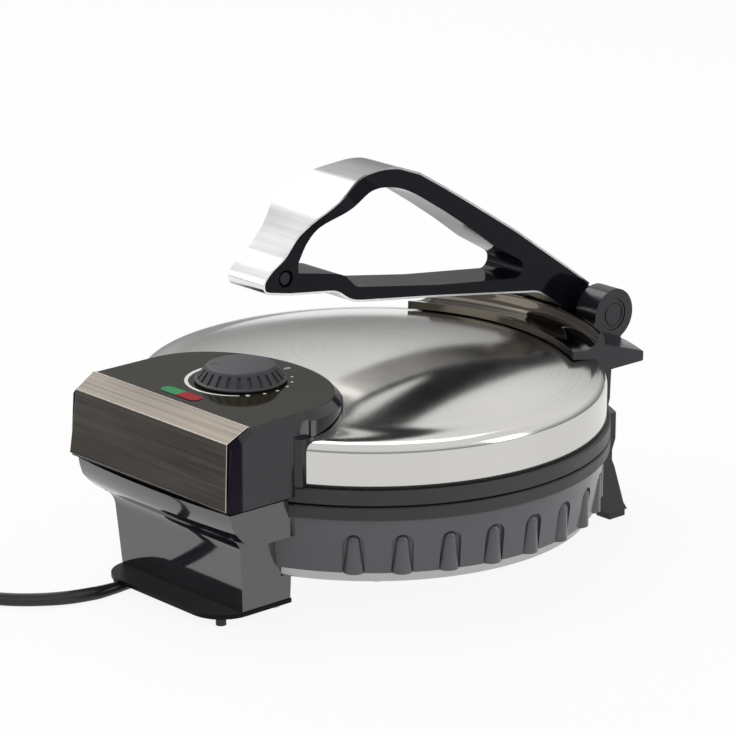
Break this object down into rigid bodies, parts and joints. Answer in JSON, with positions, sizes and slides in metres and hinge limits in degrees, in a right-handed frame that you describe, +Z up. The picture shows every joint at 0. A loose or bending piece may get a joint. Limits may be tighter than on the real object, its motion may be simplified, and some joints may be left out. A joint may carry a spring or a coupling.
{
  "type": "electric roti maker",
  "caption": "Electric flatbread press: round hinged cooking plates under a domed lid, a folding triangular press handle, front dial housing, standing on a front foot and two rear legs.",
  "frame": {"origin": "on the table under the middle of the appliance's box, leaving the cord out", "axes": "+X to the right as seen from the front, +Y to the rear where the hinges are, +Z up"},
  "size_m": [0.2728, 0.5684, 0.2247],
  "materials": {
    "ring_plastic": "satin moulded, dark grey",
    "pan_steel": "satin sheet",
    "plate_coating": "speckled non-stick coating on cast metal",
    "element_steel": "heat-stained tube",
    "hardware_steel": "zinc-plated",
    "housing_plastic": "high gloss, black",
    "inner_plastic": "matt, black",
    "terminal_ceramic": "unglazed, cream",
    "foot_plastic": "matt, brown-black",
    "rubber_pad": "matt, black",
    "bracket_plastic": "satin, charcoal",
    "lid_steel": "fine brushed",
    "trim_steel": "brushed, smoke-tinted",
    "panel_gloss": "high gloss, olive-brown black",
    "green_lens": "clear green",
    "red_lens": "clear red",
    "lamp_glass": "clear",
    "knob_plastic": "fine matt, dark grey",
    "hood_chrome": "dark nickel, polished",
    "handle_core": "gloss, purple-black",
    "band_aluminium": "polished",
    "cord_pvc": "satin flexible, black",
    "blade_brass": "plated"
  },
  "bodies": {
    "base": {"base_ring": "ring_plastic", "base_pan": "pan_steel", "lower_plate": "plate_coating", "lower_heating_element": "element_steel", "thermal_fuse": "hardware_steel", "plate_screws": "hardware_steel", "pan_screws": "hardware_steel", "front_housing": "housing_plastic", "housing_cover": "inner_plastic", "terminal_block": "terminal_ceramic", "foot_plate": "foot_plastic", "front_feet": "rubber_pad", "foot_screws": "hardware_steel", "rear_bracket": "bracket_plastic", "rear_feet": "rubber_pad", "bracket_screws": "hardware_steel", "lid_hinge_pin": "hardware_steel", "cord_strain_relief": "cord_pvc", "power_cord": "cord_pvc", "cord_coil": "cord_pvc", "plug_body": "cord_pvc", "plug_blades": "blade_brass"},
    "lid": {"lid_cover": "lid_steel", "upper_plate": "plate_coating", "upper_heating_element": "element_steel", "lid_screws": "hardware_steel", "control_shell": "housing_plastic", "front_trim": "trim_steel", "dial_panel": "panel_gloss", "green_lens": "green_lens", "red_lens": "red_lens", "lamp_holder": "inner_plastic", "indicator_lamps": "lamp_glass", "thermostat": "element_steel", "rear_hood": "bracket_plastic", "hood_cover": "hood_chrome", "handle_pivot_pin": "hardware_steel", "pivot_caps": "bracket_plastic"},
    "knob": {"dial_knob": "knob_plastic", "dial_shaft": "hardware_steel"},
    "handle": {"handle_frame": "handle_core", "handle_band": "band_aluminium", "handle_screws": "hardware_steel"}
  },
  "joints": [
    {"name": "lid_hinge", "type": "hinge", "parent": "base", "child": "lid", "pos_m": [0, 0.1469, 0.079], "axis": [-1, 0, 0], "range_deg": [0, 100]},
    {"name": "handle_pivot", "type": "hinge", "parent": "lid", "child": "handle", "pos_m": [0, 0.1533, 0.1133], "axis": [-1, 0, 0], "range_deg": [0, 75]},
    {"name": "knob_turn", "type": "hinge", "parent": "lid", "child": "knob", "pos_m": [0, -0.1009, 0.117], "axis": [0, 0, -1], "range_deg": [0, 270]}
  ]
}
